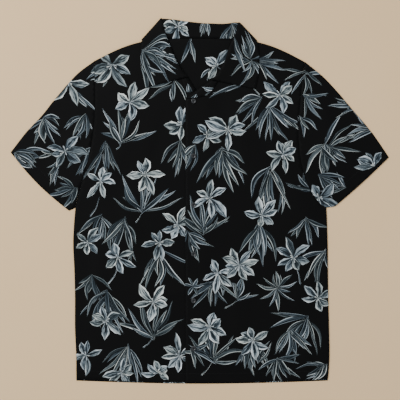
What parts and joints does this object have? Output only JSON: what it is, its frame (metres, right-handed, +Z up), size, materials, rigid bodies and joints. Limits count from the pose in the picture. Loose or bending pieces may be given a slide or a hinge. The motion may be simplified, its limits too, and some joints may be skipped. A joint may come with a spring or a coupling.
{
  "type": "hawaiian shirt",
  "caption": "Short-sleeved open-collar shirt with a buttoned front, laid flat on its back.",
  "frame": {"origin": "middle of the laid shirt's outline, on the surface it lies on", "axes": "+Z up from the surface, +Y towards the collar, +X towards the wearer's left"},
  "size_m": [0.8508, 0.8219, 0.0104],
  "materials": {
    "printed_cloth": "plain-weave rayon, black ground with a grey-blue floral print, soft sheen",
    "button": "dark moulded resin"
  },
  "bodies": {
    "root": {"back": "printed_cloth", "right_front": "printed_cloth", "left_front": "printed_cloth", "right_revers": "printed_cloth", "left_revers": "printed_cloth", "right_sleeve": "printed_cloth", "left_sleeve": "printed_cloth", "collar": "printed_cloth", "button_1": "button", "button_2": "button", "button_3": "button", "button_4": "button", "button_5": "button", "button_6": "button"}
  },
  "joints": []
}
